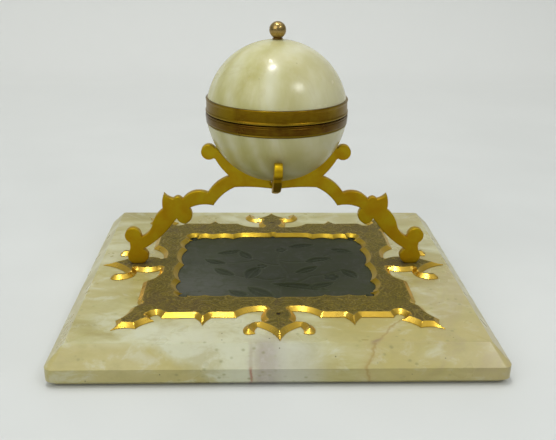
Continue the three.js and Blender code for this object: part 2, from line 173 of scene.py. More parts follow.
# ---------------------------------------------------------------- material helpers
class Nodes:
    """Short calls that add shader nodes to one material."""

    def __init__(self, name):
        self.material = bpy.data.materials.new(name)
        self.material.use_nodes = True
        self.tree = self.material.node_tree
        self.shader = self.tree.nodes["Principled BSDF"]
        self.place = self.add("ShaderNodeTexCoord").outputs["Object"]

    def add(self, kind, **values):
        node = self.tree.nodes.new(kind)
        for name, value in values.items():
            setattr(node, name, value)
        return node

    def link(self, source, target):
        """Joins a socket to the target, or sets the target to a number or a colour."""
        if isinstance(source, bpy.types.NodeSocket):
            self.tree.links.new(source, target)
        elif target.type == "RGBA" and len(source) == 3:
            target.default_value = (*source, 1)
        else:
            target.default_value = source

    def wired(self, kind, output, inputs, **values):
        """A new node with these inputs; gives the named output."""
        node = self.add(kind, **values)
        for name, source in inputs.items():
            self.link(source, node.inputs[name])
        return node.outputs[output]

    def mapped(self, scale=(1, 1, 1), turn=(0, 0, 0), shift=(0, 0, 0)):
        """The place in millimetres, turned and then stretched."""
        scale = [value / MM for value in scale]
        turn = [math.radians(value) for value in turn]
        inputs = {"Vector": self.place, "Scale": scale, "Rotation": turn, "Location": shift}
        return self.wired("ShaderNodeMapping", "Vector", inputs, vector_type="POINT")

    def axes(self):
        """The place's x, y and z in millimetres."""
        node = self.add("ShaderNodeSeparateXYZ")
        self.link(self.mapped(), node.inputs["Vector"])
        return node.outputs["X"], node.outputs["Y"], node.outputs["Z"]

    def noise(self, vector, scale, detail=3, rough=0.5, distort=0.0):
        inputs = {"Scale": scale, "Detail": detail, "Roughness": rough, "Distortion": distort}
        return self.wired("ShaderNodeTexNoise", "Fac", {"Vector": vector, **inputs})

    def cells(self, vector, scale):
        return self.wired("ShaderNodeTexVoronoi", "Distance", {"Vector": vector, "Scale": scale})

    def wave(self, vector, scale, distort, detail, detail_scale):
        inputs = {"Scale": scale, "Distortion": distort, "Detail": detail, "Detail Scale": detail_scale}
        return self.wired("ShaderNodeTexWave", "Fac", {"Vector": vector, **inputs})

    def ramp(self, factor, *stops):
        """Colour ramp; each stop is (position, colour)."""
        node = self.add("ShaderNodeValToRGB")
        elements = node.color_ramp.elements
        while len(elements) < len(stops):
            elements.new(0.5)
        for element, (position, colour) in zip(elements, stops):
            element.position = position
            element.color = (*colour, 1)
        self.link(factor, node.inputs["Fac"])
        return node.outputs["Color"]

    def fade(self, value, low, high, to_low=0.0, to_high=1.0):
        """Value from low..high moved to to_low..to_high, and held at the ends."""
        inputs = {"Value": value, "From Min": low, "From Max": high, "To Min": to_low, "To Max": to_high}
        return self.wired("ShaderNodeMapRange", "Result", inputs)

    def math(self, operation, first, second=0.0):
        node = self.add("ShaderNodeMath", operation=operation)
        self.link(first, node.inputs[0])
        self.link(second, node.inputs[1])
        return node.outputs["Value"]

    def times(self, first, *more):
        for factor in more:
            first = self.math("MULTIPLY", first, factor)
        return first

    def plus(self, first, *more):
        for term in more:
            first = self.math("ADD", first, term)
        return first

    def away(self, value, level):
        """How far a value is from a level."""
        return self.math("ABSOLUTE", self.math("SUBTRACT", value, level))

    def mix(self, factor, first, second):
        inputs = {"Factor": factor, "A": first, "B": second}
        return self.wired("ShaderNodeMix", "Result", inputs, data_type="RGBA")

    def layers(self, colour, *coats):
        """The colour with others laid over it in turn; each coat is (cover, colour)."""
        for cover, over in coats:
            colour = self.mix(cover, colour, over)
        return colour

    def attribute(self, name):
        return self.add("ShaderNodeAttribute", attribute_name=name).outputs["Fac"]

    def bump(self, height, depth_mm, strength):
        inputs = {"Height": height, "Distance": depth_mm * MM, "Strength": strength}
        return self.wired("ShaderNodeBump", "Normal", inputs)

    def finish(self, colour, rough, normal=None, **fixed):
        """Sets the shader's colour, roughness and normal, and others that are the same all over."""
        for name, source in {"Base_Color": colour, "Roughness": rough, "Normal": normal, **fixed}.items():
            if source is not None:
                self.link(source, self.shader.inputs[name.replace("_", " ")])
        return self.material


# ---------------------------------------------------------------- materials
STONE_DEPTH = {"Subsurface_Radius": (1.0, 0.85, 0.5), "Subsurface_Scale": 0.002}


def floor_material():
    n = Nodes("pale_paper")
    soft = n.noise(n.mapped(), 0.01, 2)
    _, y, _ = n.axes()
    colour = n.ramp(soft, (0.3, (0.60, 0.615, 0.60)), (0.7, (0.64, 0.655, 0.64)))
    return n.finish(n.mix(n.fade(y, 150, 700), colour, (0.72, 0.73, 0.71)), 0.75)


def ridge(n, value, width):
    """1 along the middle level of a noise and 0 away from it: a thin wandering vein."""
    return n.fade(n.away(value, 0.5), 0.0, width, 1.0, 0.0)


def onyx_pits(n):
    """Small scattered pits of polished onyx, 1 inside a pit."""
    spots = n.cells(n.mapped(), 0.16)
    chosen = n.noise(n.mapped(shift=(40, 3, 9)), 0.05, 1)
    return n.times(n.fade(spots, 0.04, 0.075, 1, 0), n.fade(chosen, 0.52, 0.56))


def slab_onyx():
    n = Nodes("slab_onyx")
    x, y, z = n.axes()
    streaks = n.noise(n.mapped((0.35, 1.0, 1.4), (0, 0, 8)), 0.045, 5, 0.6, 0.8)
    clouds = n.noise(n.mapped(shift=(12, 50, 3)), 0.024, 4, 0.55, 0.6)
    fine = n.noise(n.mapped((0.25, 1.0, 1.2), (0, 0, 4)), 0.28, 4, 0.6)
    mottle = n.noise(n.mapped((0.7, 1, 1.2), shift=(9, 4, 2)), 0.10, 5, 0.66, 0.5)
    wander = n.noise(n.mapped(shift=(5, 5, 5)), 0.12, 3, 0.6)
    base = n.ramp(
        streaks,
        (0.32, (0.305, 0.260, 0.072)),
        (0.45, (0.385, 0.350, 0.130)),
        (0.58, (0.465, 0.445, 0.225)),
        (0.74, (0.570, 0.565, 0.380)),
    )

    # a paler grey-green stretch across the front, whose left end slants over a warmer bevel,
    # the darker left edge and a broad yellow stain over the front right
    slant = n.plus(x, n.times(n.plus(y, z), 1.33), n.fade(wander, 0, 1, -12, 12))
    pale = n.times(n.fade(slant, -151, -139), n.fade(x, 26, -4), n.fade(y, -52, -74, 0, 0.85), 0.8)
    warm = n.times(n.fade(slant, -139, -152), n.fade(y, -80.5, -84, 0, 0.8))
    left = n.times(n.fade(x, -86, -96), n.fade(clouds, 0.3, 0.6, 0.2, 0.6))
    stain = n.times(n.fade(x, 14, 46), n.fade(y, -42, -66), n.fade(clouds, 0.3, 0.6, 0.15, 0.75))
    base = n.layers(
        base,
        (n.fade(clouds, 0.50, 0.64, 0, 0.55), (0.385, 0.330, 0.120)),
        (n.fade(clouds, 0.45, 0.33, 0, 0.6), (0.58, 0.58, 0.40)),
        (n.fade(fine, 0.40, 0.75, 0, 0.22), (0.53, 0.51, 0.29)),
        (pale, (0.555, 0.570, 0.430)),
        (warm, (0.435, 0.375, 0.135)),
        (left, (0.420, 0.365, 0.145)),
        (stain, (0.440, 0.375, 0.125)),
        (n.fade(mottle, 0.50, 0.66, 0, 0.45), (0.345, 0.305, 0.110)),
        (n.fade(mottle, 0.47, 0.34, 0, 0.45), (0.560, 0.570, 0.430)),
    )

    # yellow-brown vein that runs forward and down the front bevel, with a dark knot at the bend
    bend = n.plus(y, 83.0)
    behind, before = n.math("MAXIMUM", bend, 0.0), n.math("MINIMUM", bend, 0.0)
    vein_x = n.plus(n.times(behind, 0.75), 41.0, n.times(before, 0.43), n.fade(wander, 0, 1, -4, 4))
    vein_off = n.away(x, vein_x)
    knot = n.times(n.fade(vein_off, 0.5, 2.4, 0.75, 0), n.fade(n.away(y, -80.5), 0.8, 2.8, 1, 0))
    base = n.layers(
        base,
        (n.times(n.fade(vein_off, 0.15, 1.1, 0.7, 0), n.fade(y, -54, -62)), (0.29, 0.190, 0.020)),
        (knot, (0.185, 0.125, 0.095)),
        (n.times(n.fade(vein_off, 0.5, 6.0, 0.35, 0), n.fade(y, -60, -74)), (0.42, 0.33, 0.13)),
    )

    # grey-mauve patch at the front, with a thread that is red on the upright face
    smoke = n.noise(n.mapped(shift=(1, 6, 2)), 0.22, 4, 0.6, 0.8)
    grey = n.ramp(smoke, (0.35, (0.260, 0.205, 0.165)), (0.62, (0.400, 0.355, 0.300)))
    patch = n.fade(n.away(x, n.fade(wander, 0, 1, -2.0, -9.0)), 2.5, 9.5, 0.85, 0)
    patch = n.times(patch, n.fade(y, -72, -84), n.fade(smoke, 0.25, 0.55, 0.45, 1.0))
    thread_off = n.away(x, n.fade(wander, 0, 1, -10.5, -15.0))
    low = n.times(n.fade(thread_off, 0.15, 0.8, 0.8, 0), n.fade(z, 10.0, 8.5), n.fade(y, -84, -86))
    base = n.layers(
        base,
        (patch, grey),
        (n.times(n.fade(n.away(x, 6.0), 4, 15, 0.5, 0), n.fade(y, -78, -84)), (0.455, 0.455, 0.385)),
        (low, (0.36, 0.095, 0.035)),
        (n.times(n.fade(thread_off, 0.3, 1.3, 0.35, 0), n.fade(y, -80, -84)), (0.30, 0.22, 0.17)),
    )

    # mauve threads and a warm blush towards the right edge, olive specks and the odd dark pit
    ways = n.noise(n.mapped((1, 0.35, 1), (0, 0, 24)), 0.035, 4, 0.62, 0.7)
    speck_choice = n.noise(n.mapped(shift=(21, 8, 5)), 0.06, 1)
    speckled = n.times(n.fade(n.away(x, -28.0), 30, 20), n.fade(y, -79, -83))
    speckled = n.math("MAXIMUM", n.fade(speck_choice, 0.50, 0.58), speckled)
    specks = n.fade(n.cells(n.mapped((1, 1, 1.5)), 0.21), 0.05, 0.24, 0.6, 0)
    base = n.layers(
        base,
        (n.times(ridge(n, ways, 0.06), n.fade(x, 60, 80, 0.05, 0.24)), (0.31, 0.215, 0.165)),
        (n.times(n.fade(x, 66, 96), n.fade(clouds, 0.36, 0.56, 0.1, 0.5)), (0.420, 0.355, 0.180)),
        (n.times(specks, speckled), (0.21, 0.215, 0.075)),
        (n.times(onyx_pits(n), 0.8), (0.08, 0.075, 0.03)),
    )
    wear_and_painted_highlight = n.noise(n.mapped(shift=(3, 3, 3)), 0.06, 2)
    rough, normal = n.fade(wear_and_painted_highlight, 0.3, 0.7, 0.26, 0.36), n.bump(wear_and_painted_highlight, 0.12, 0.4)
    surface = {"Subsurface_Weight": 0.12, "Coat_Weight": 0.06, "Coat_Roughness": 0.15}
    return n.finish(base, rough, normal, **surface, **STONE_DEPTH)


def globe_onyx(name, turn, shift, painted_shade):
    """Banded cream onyx; turn tilts the bands, and the last argument is how far painted shade and a painted
    gold reflection take it to dark olive.
    """
    n = Nodes(name)
    bands = n.wave(n.mapped((1, 1, 0.35), turn, shift), 0.030, 5.0, 4, 0.8)
    clouds = n.noise(n.mapped(shift=shift), 0.040, 4, 0.5, 0.5)
    streaks = n.noise(n.mapped((1, 1, 0.12), turn), 0.22, 4, 0.6)
    ways = n.noise(n.mapped((1, 1, 0.3), turn), 0.04, 4, 0.6, 0.8)
    across, _, _ = n.axes()
    base = n.ramp(
        bands,
        (0.0, (0.450, 0.425, 0.175)),
        (0.35, (0.510, 0.490, 0.235)),
        (0.7, (0.555, 0.540, 0.300)),
        (1.0, (0.610, 0.600, 0.390)),
    )
    base = n.layers(
        base,
        (n.fade(clouds, 0.42, 0.66, 0, 0.6), (0.440, 0.405, 0.140)),
        (n.fade(clouds, 0.42, 0.28, 0, 0.5), (0.600, 0.590, 0.430)),
        (n.fade(streaks, 0.45, 0.75, 0, 0.35), (0.620, 0.600, 0.380)),
        (n.times(ridge(n, ways, 0.03), 0.12), (0.34, 0.27, 0.10)),
        (n.fade(across, -12, 30, 0, 0.45), (0.630, 0.585, 0.430)),
        # painted shade and the bridge's painted gold reflection, dark olive, laid evenly over the whole bowl
        (painted_shade, (0.235, 0.205, 0.035)),
        (n.times(onyx_pits(n), 0.45), (0.22, 0.19, 0.07)),
    )
    wear_and_painted_highlight = n.noise(n.mapped(), 0.05, 2)
    rough, normal = n.fade(wear_and_painted_highlight, 0.3, 0.7, 0.20, 0.28), n.bump(wear_and_painted_highlight, 0.1, 0.3)
    surface = {"Subsurface_Weight": 0.15, "Coat_Weight": 0.12, "Coat_Roughness": 0.12}
    return n.finish(base, rough, normal, **surface, **STONE_DEPTH)


def gilt(name, bright, dull, patches, rough, grain, scratch=0.0):
    """Gilt brass: bright metal going to a duller tone in cloudy patches, with fine grain."""
    n = Nodes(name)
    clouds = n.noise(n.mapped(shift=(9, 2, 4)), 0.09, 4, 0.6, 0.5)
    spots = n.noise(n.mapped(), 0.8, 4, 0.65)
    fine = n.noise(n.mapped(), 3.0, 3, 0.6)
    lines = n.noise(n.mapped((0.06, 1, 1), (0, 0, 3)), 4.0, 2)
    patchy, spotted = n.fade(clouds, 0.35, 0.65, 0, patches), n.fade(spots, 0.5, 0.75, 0, patches * 0.6)
    colour = n.layers(bright, (patchy, dull), (spotted, dull))
    normal = n.bump(n.plus(n.times(fine, grain), n.times(lines, scratch)), 0.12, 0.6)
    return n.finish(colour, n.fade(clouds, 0.3, 0.7, *rough), normal, Metallic=1.0)


def engraved_gilt():
    """The frame's flat top: chased scrolls on a matted ground, with a painted gold highlight along the edges
    where the bevels meet it.
    """
    n = Nodes("engraved_gilt")
    relief, wear_and_painted_highlight = n.attribute("relief"), n.attribute("wear_and_painted_highlight")
    clouds = n.noise(n.mapped(shift=(2, 2, 2)), 0.07, 4, 0.6, 0.6)
    mottle = n.noise(n.mapped(shift=(7, 1, 4)), 0.85, 4, 0.7, 1.0)
    swirl = n.noise(n.mapped(), 0.75, 3, 0.55, 2.4)
    chased = ridge(n, swirl, 0.08)
    ground = n.ramp(
        clouds,
        (0.30, (0.125, 0.105, 0.022)),
        (0.48, (0.185, 0.145, 0.026)),
        (0.62, (0.150, 0.110, 0.045)),
        (0.75, (0.200, 0.160, 0.020)),
    )
    raised = n.ramp(mottle, (0.35, (0.155, 0.115, 0.022)), (0.65, (0.34, 0.255, 0.040)))
    colour = n.layers(
        ground,
        (n.fade(mottle, 0.49, 0.36, 0, 0.9), (0.050, 0.042, 0.016)),
        (n.fade(mottle, 0.53, 0.66, 0, 0.85), (0.34, 0.250, 0.026)),
        (n.fade(n.cells(n.mapped(), 1.3), 0.15, 0.6, 0.4, 0), (0.070, 0.058, 0.020)),
        (n.fade(relief, 0.25, 0.85, 0, 0.7), raised),
        (n.times(chased, 0.3), (0.32, 0.245, 0.045)),
        # painted highlight: a gold line where each bevel meets the flat top
        (n.times(wear_and_painted_highlight, 0.3), (0.56, 0.41, 0.085)),
    )
    normal = n.bump(n.plus(n.times(mottle, 1.2), n.times(chased, 0.8)), 0.14, 0.8)
    return n.finish(colour, n.fade(relief, 0.2, 0.9, 0.62, 0.48), normal, Metallic=0.85)


def band_gilt(name, low, bead, body, patch):
    """A lacquered rim band: reddish-brown going to gold in patches, and a bright bead at the bottom."""
    n = Nodes(name)
    _, _, z = n.axes()
    clouds = n.noise(n.mapped((1, 1, 0.5), shift=(4, 9, 2)), 0.07, 4, 0.6, 0.5)
    lines = n.noise(n.mapped((0.15, 0.15, 1)), 2.2, 3, 0.6)
    at_bead = n.fade(z, low + 1.25, low + 0.85, 0, 0.9)
    coats = ((n.fade(clouds, 0.38, 0.64), patch), (n.fade(lines, 0.35, 0.75, 0, 0.3), bead), (at_bead, bead))
    rough = n.fade(clouds, 0.3, 0.7, 0.26, 0.40)
    return n.finish(n.layers(body, *coats), rough, n.bump(lines, 0.08, 0.5), Metallic=1.0)


def carved_slate():
    n = Nodes("carved_slate")
    leaf, edge = n.attribute("leaf"), n.attribute("edge")
    x, y, _ = n.axes()
    clouds = n.noise(n.mapped(), 0.035, 4, 0.6, 0.4)
    fine = n.noise(n.mapped((0.3, 1, 1)), 0.9, 4, 0.6)
    patches = n.noise(n.mapped(shift=(6, 2, 1)), 0.2, 4, 0.65, 0.8)
    base = n.ramp(
        clouds,
        (0.30, (0.026, 0.030, 0.011)),
        (0.55, (0.036, 0.040, 0.019)),
        (0.75, (0.046, 0.047, 0.034)),
    )
    colour = n.layers(
        base,
        (n.times(n.fade(x, 5, -38), n.fade(y, 30, -25), 0.85), (0.088, 0.091, 0.076)),
        (n.fade(patches, 0.48, 0.66, 0, 0.6), (0.030, 0.038, 0.008)),
        (n.fade(patches, 0.46, 0.32, 0, 0.5), (0.070, 0.070, 0.062)),
        (n.fade(fine, 0.4, 0.7, 0, 0.4), (0.036, 0.045, 0.014)),
        # darker carved leaves and flowers, and painted shadow in the corner pockets, which the leaf
        # attribute also covers
        (n.times(leaf, 0.6), (0.018, 0.024, 0.009)),
        (n.times(edge, 0.35), (0.105, 0.120, 0.070)),
    )
    rough = n.fade(clouds, 0.3, 0.7, 0.46, 0.60)
    return n.finish(colour, rough, n.bump(fine, 0.08, 0.4), Specular_IOR_Level=0.16)


def clear_glass():
    n = Nodes("liner_glass")
    ripple = n.noise(n.mapped(), 0.15, 2)
    colour = n.ramp(ripple, (0.3, (0.93, 0.97, 0.95)), (0.7, (0.97, 0.99, 0.98)))
    rough, normal = n.fade(ripple, 0.3, 0.7, 0.02, 0.06), n.bump(ripple, 0.2, 0.3)
    return n.finish(colour, rough, normal, Transmission_Weight=0.92, IOR=1.5)


def green_felt():
    n = Nodes("green_felt")
    fibres = n.noise(n.mapped((1, 0.25, 1), (0, 0, 35)), 3.5, 4, 0.7, 1.0)
    clumps = n.noise(n.mapped(), 0.4, 3)
    colour = n.ramp(fibres, (0.3, (0.025, 0.05, 0.028)), (0.7, (0.075, 0.125, 0.07)))
    colour = n.mix(n.fade(clumps, 0.4, 0.7, 0, 0.4), colour, (0.04, 0.075, 0.045))
    rough, normal = n.fade(clumps, 0.3, 0.7, 0.9, 1.0), n.bump(fibres, 0.3, 0.8)
    return n.finish(colour, rough, normal, Sheen_Weight=0.5, Sheen_Roughness=0.4)


# ---------------------------------------------------------------- mesh helpers
def piece(name, shape, materials, body, node, slot, sharp, pick=None, **fields):
    """A mesh piece that rides on a body and stands for a CAD node.

    Edges of more than sharp degrees stay crisp. pick gives each face's material. Each field holds
    a number for every vertex that the materials read, and is 0 at the vertices it doesn't reach.
    """
    verts_mm, faces = shape
    mesh = bpy.data.meshes.new(name)
    mesh.from_pydata([tuple(float(c) * MM for c in v) for v in verts_mm], [], faces)
    for material in materials:
        mesh.materials.append(material)
    if pick is not None:
        mesh.polygons.foreach_set("material_index", np.asarray(pick, dtype=np.int32))
    mesh.shade_smooth()
    mesh.update()
    for field, values in fields.items():
        numbers = np.zeros(len(verts_mm), dtype=np.float32)
        numbers[: len(values)] = values
        mesh.attributes.new(field, "FLOAT", "POINT").data.foreach_set("value", numbers)
    mesh.set_sharp_from_angle(angle=math.radians(sharp))
    made = bpy.data.objects.new(name, mesh)
    bpy.context.scene.collection.objects.link(made)
    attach(made, body)
    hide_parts(node)
    return made


def revolve(profile, steps):
    """Vertices and faces of a solid turned about Z. The profile goes up the outside first."""
    on_axis = 1e-6
    verts, faces, rings = [], [], []
    for radius, z in profile:
        if radius < on_axis:
            rings.append([len(verts)])
            verts.append((0.0, 0.0, z))
            continue
        rings.append(list(range(len(verts), len(verts) + steps)))
        angles = [2 * math.pi * i / steps for i in range(steps)]
        verts += [(radius * math.cos(angle), radius * math.sin(angle), z) for angle in angles]
    pairs = list(zip(rings, rings[1:]))
    if profile[0][0] > on_axis:
        pairs.append((rings[-1], rings[0]))
    for lower, upper in pairs:
        for i in range(steps):
            j = (i + 1) % steps
            if len(lower) == 1:
                faces.append((lower[0], upper[j], upper[i]))
            elif len(upper) == 1:
                faces.append((lower[i], lower[j], upper[0]))
            else:
                faces.append((lower[i], lower[j], upper[j], upper[i]))
    return verts, faces


def stacked(rings):
    """Vertices and faces of a closed solid through level rings of points, from the lowest."""
    count = len(rings[0])
    last = (len(rings) - 1) * count
    faces = []
    for a in range(0, last, count):
        b = a + count
        faces += [(a + i, a + (i + 1) % count, b + (i + 1) % count, b + i) for i in range(count)]
    faces += [tuple(range(count - 1, -1, -1)), tuple(range(last, last + count))]
    return np.concatenate(rings), faces


def arc(centre_z, radius, start, end, steps):
    """Profile points on a circle about (0, centre_z), from angle start to end in degrees."""
    angles = np.radians(np.linspace(start, end, steps + 1))
    return [(radius * math.cos(a), centre_z + radius * math.sin(a)) for a in angles]


def rounded(profile, reach, steps):
    """The closed profile with each corner rounded, over this much of its two sides."""
    points = [np.array(p, float) for p in profile]
    out = []
    for i, here in enumerate(points):
        back, ahead = points[i - 1] - here, points[(i + 1) % len(points)] - here
        room = min(reach, 0.45 * np.linalg.norm(back), 0.45 * np.linalg.norm(ahead))
        start = here + back / np.linalg.norm(back) * room
        end = here + ahead / np.linalg.norm(ahead) * room
        for t in np.linspace(0, 1, steps + 1):
            out.append(tuple((1 - t) ** 2 * start + 2 * t * (1 - t) * here + t * t * end))
    return out


def step_points(start, steps, spacing=0.4):
    """An outline of straight lines and curves: each step is (x, y) or (x, y, sag to the left)."""
    points = [np.array(start, float)]
    for x, y, *sag in steps:
        a, b = points[-1], np.array((x, y), float)
        count = max(1, round(np.linalg.norm(b - a) / spacing))
        bulge = sag[0] if sag else 0.0
        along = b - a
        middle = (a + b) / 2 + np.array((-along[1], along[0])) / np.linalg.norm(along) * 2 * bulge
        for t in np.linspace(0, 1, count + 1)[1:]:
            points.append((1 - t) ** 2 * a + 2 * t * (1 - t) * middle + t * t * b)
    return np.array(points)


def circle_points(centre, radius, start, end, spacing=0.4):
    """Points of an arc about centre, from angle start to end in degrees."""
    count = max(3, round(abs(math.radians(end - start)) * radius / spacing))
    angles = np.radians(np.linspace(start, end, count + 1))
    return np.stack([centre[0] + radius * np.cos(angles), centre[1] + radius * np.sin(angles)], 1)


def mirrored(half):
    return np.concatenate([half, (half[1:-1] * (-1, 1))[::-1]])


def four_way(quarter):
    return mirrored(np.concatenate([quarter, (quarter * (1, -1))[::-1][1:]]))


def counterclockwise(loop):
    x, y = loop[:, 0], loop[:, 1]
    return loop if np.sum(x * np.roll(y, -1) - y * np.roll(x, -1)) > 0 else loop[::-1]


def inside(points, loop):
    """Whether each point is inside the closed loop."""
    x, y = points[:, 0], points[:, 1]
    odd = np.zeros(len(points), bool)
    for (x0, y0), (x1, y1) in zip(loop, np.roll(loop, -1, 0)):
        if y0 != y1:
            crosses = (y0 > y) != (y1 > y)
            odd ^= crosses & (x < (x1 - x0) * (y - y0) / (y1 - y0) + x0)
    return odd


def nearest(points, cloud):
    """Index of the cloud's nearest point to each point, and its distance."""
    tree = kdtree.KDTree(len(cloud))
    for i, (x, y) in enumerate(cloud):
        tree.insert((x, y, 0), i)
    tree.balance()
    _, index, distance = zip(*(tree.find((x, y, 0)) for x, y in points))
    return np.array(index), np.array(distance)


def gap(points, cloud):
    """Distance from each point to the nearest of the cloud."""
    return nearest(points, cloud)[1]


def edge_distance(points, loops):
    """Distance from each point to the nearest side of the closed loops."""
    starts = np.concatenate(loops)
    ends = np.concatenate([np.roll(loop, -1, 0) for loop in loops])
    before = np.concatenate([np.roll(loop, 1, 0) for loop in loops])
    near, _ = nearest(points, starts)
    gaps = []
    for a, b in ((starts[near], ends[near]), (before[near], starts[near])):
        along = b - a
        share = np.sum((points - a) * along, 1) / np.maximum(np.sum(along * along, 1), 1e-12)
        gaps.append(np.linalg.norm(points - a - along * np.clip(share, 0, 1)[:, None], axis=1))
    return np.minimum(*gaps)


def mitre_points(loops, reach, spacing=0.3):
    """Points along the mitres that run in from the corners, so that the bevels meet in clean lines."""
    made = []
    for number, loop in enumerate(loops):
        sign = -1 if number else 1
        inward = inward_normals(loop, sign)
        ahead, behind = np.roll(loop, -1, 0) - loop, loop - np.roll(loop, 1, 0)
        turned = behind[:, 0] * ahead[:, 1] - behind[:, 1] * ahead[:, 0]
        bend = np.arctan2(turned, np.sum(behind * ahead, 1))
        for i in np.flatnonzero(bend * sign > math.radians(22)):
            share = math.cos(bend[i] / 2)
            along = np.append(np.arange(spacing, reach / share, spacing), reach / share)
            points = loop[i] + np.outer(along, inward[i])
            made.append(points[np.abs(edge_distance(points, loops) - along * share) < 0.02])
    return np.concatenate(made)


def inward_normals(loop, sign):
    along = np.roll(loop, -1, 0) - np.roll(loop, 1, 0)
    normals = np.stack([-along[:, 1], along[:, 0]], 1) * sign
    return normals / np.linalg.norm(normals, axis=1, keepdims=True)


def fill(points, loops):
    """Triangles over the points, kept inside the first loop and outside the others."""
    edges, start = [], 0
    for loop in loops:
        count = len(loop)
        edges += [(start + i, start + (i + 1) % count) for i in range(count)]
        start += count
    coords = [Vector((float(x), float(y))) for x, y in points]
    verts, _, faces, _, _, _ = delaunay_2d_cdt(coords, edges, [], 0, 1e-5)
    flat = np.array([(v.x, v.y) for v in verts])
    triangles = np.array([f for f in faces if len(f) == 3])
    centres = flat[triangles].mean(1)
    keep = inside(centres, loops[0])
    for hole in loops[1:]:
        keep &= ~inside(centres, hole)
    return flat, triangles[keep]


# ---------------------------------------------------------------- outlines of the cut brass
def fleur_half():
    steps = [(9.8, 8.8, -1.7), (10.8, 14.9, -0.7), (16.2, 11, 2.9), (7.2, 4.8, 2.4), (6.3, -5.8, 1.3)]
    return step_points((0, 21.4), [*steps, (19.5, 0, -2.3)])


def frame_outline():
    fleur = fleur_half()
    front = np.stack([fleur[:, 0], FRAME_Y + fleur[:, 1]], 1)
    side = np.stack([FRAME_X + fleur[:, 1] * SIDE_FLEUR, fleur[:, 0] * SIDE_FLEUR], 1)
    tongue = [(30.9, 59.3), (34.8, 66.6, -0.5), (38.8, 59.3, -0.5), (54, 59.6), (59.6, 59, -3)]
    wing = [(57.1, 62.4), (64.6, 69.3, -0.8), (75.4, 70.8, -1.4), (74.6, 62.2, -1.2), (69.4, 50.6, -1.1)]
    edge = [(66.2, 46.8), (67.3, 43.6), (67.3, 24)]
    corner = step_points((20.5, FRAME_Y), tongue + wing + edge)
    return four_way(np.concatenate([front, corner, side[::-1]]))


def window_outline():
    long_side = [(1.6, 39.5), (17, 39.6), (23, 36.6, 0.9), (35.3, 36.6, 2.1)]
    curl = [(43.9, 36.4, 1.9), (47.2, 38.6, 1.9), (46.6, 34.2, 1.4), (48.4, 31.9, 0.7)]
    return four_way(step_points((0, 41), [*long_side, *curl, (48.6, 20.5, 2), (48.6, 0, 2.2)]))


def cradle_end():
    ball = circle_points((34.1, 80.5), 3.9, -125, 145)
    bed = circle_points((0, GLOBE_CENTRE), CRADLE, -32, -86.2)
    return [ball, bed]


def bridge_outline():
    foot = FRAME_TOP + 0.1
    crown = [(21, 62, 0.6), (32.2, 52, 1.2), (44.8, 50.5, 1.2), (47, 41.8, -2.5), (51.4, 44.8, -0.8)]
    leg = [(53, 42.9), (69.6, 27.5, -1.3), (70, foot, -2.8), (75.8, foot)]
    heel = [(76.8, 26.8, -1.6), (76.6, 31.2, 0.3)]
    leaf = [(64.3, 41, 1), (58.4, 49.8, -1.1), (57.7, 58.3, -0.6), (53, 55.4, 0.5), (48.2, 55.3, -1.3)]
    arm = [(34.9, 58.8, -2.4), (23.7, 67.8, -1.3), (31, 77.1, -0.5)]
    lower = step_points((0, UNDERSIDE), crown + leg + heel)
    foot_ball = circle_points((74.7, 35), 4.2, -63, 175)
    upper = step_points((70.1, 34.2), leaf + arm)
    notch = np.array([(NOTCH, LAP), (0, LAP)])
    return mirrored(np.concatenate([lower, foot_ball, upper, *cradle_end(), notch]))


def bracket_outline():
    notch = np.array([(0, LAP + 0.3), (NOTCH, LAP + 0.3)])
    belly = circle_points((0, GLOBE_CENTRE), GLOBE_CENTRE - UNDERSIDE, -86.7, -44)
    neck = np.array([(31, 77.1)])
    low = np.array([(0, GLOBE_CENTRE - CRADLE)])
    return mirrored(np.concatenate([notch, belly, neck, *cradle_end(), low]))


def offset_points(loops, distance):
    """Points at this distance inside the rim, left out where the rim is nearer in a corner."""
    rings = [loop + inward_normals(loop, -1 if i else 1) * distance for i, loop in enumerate(loops)]
    points = np.concatenate(rings)
    return points[edge_distance(points, loops) > distance - 0.015]


def hex_grid(loop, spacing):
    """A grid of equilateral triangles over the loop's rectangle."""
    low, high = loop.min(0), loop.max(0)
    across = np.arange(low[0], high[0], spacing)
    rows = enumerate(np.arange(low[1], high[1], spacing * 0.87))
    shifted = [np.column_stack([across + i % 2 * spacing / 2, np.full(len(across), y)]) for i, y in rows]
    return np.concatenate(shifted)


def plate_mesh(loop, front, back, turn):
    """A plate with rounded edges: front and back give its faces' heights, turn places it."""
    loop = counterclockwise(loop)
    rings = [offset_points([loop], distance) for distance in (0.09, SOFTEN, 0.6)]
    grid = hex_grid(loop, 1.2)
    grid = grid[inside(grid, loop)]
    grid = grid[gap(grid, loop) > 1.0]
    flat, triangles = fill(np.concatenate([loop, *rings, grid]), [loop])
    count, total = len(loop), len(flat)
    depth = edge_distance(flat, [loop])
    depth[:count] = 0
    drop = SOFTEN * (1 - np.sqrt(1 - (1 - np.clip(depth / SOFTEN, 0, 1)) ** 2))
    sides = [np.column_stack([flat, front(flat) - drop]), np.column_stack([flat, back(flat) + drop])]
    faces = [(int(a), int(b), int(c)) for a, b, c in triangles]
    faces += [(c + total, b + total, a + total) for a, b, c in faces]
    faces += [(i + total, (i + 1) % count + total, (i + 1) % count, i) for i in range(count)]
    return [turn(*v) for v in np.concatenate(sides)], faces


def cut_plate(name, loop, turn, node):
    shape = plate_mesh(loop, lambda flat: PLATE_HALF, lambda flat: -PLATE_HALF, turn)
    piece(name, shape, [MATT_GILT], "root", node, "matt_gilt", 50)


# ---------------------------------------------------------------- engraved frame
def spiral(centre, radius, start, turns, hand):
    """Points of a scroll that winds in from radius to a small eye."""
    t = np.linspace(0, 1, int(60 * turns))
    r = radius * (1 - 0.86 * t)
    a = math.radians(start) + hand * t * turns * 2 * math.pi
    return np.stack([centre[0] + r * np.cos(a), centre[1] + r * np.sin(a)], 1)


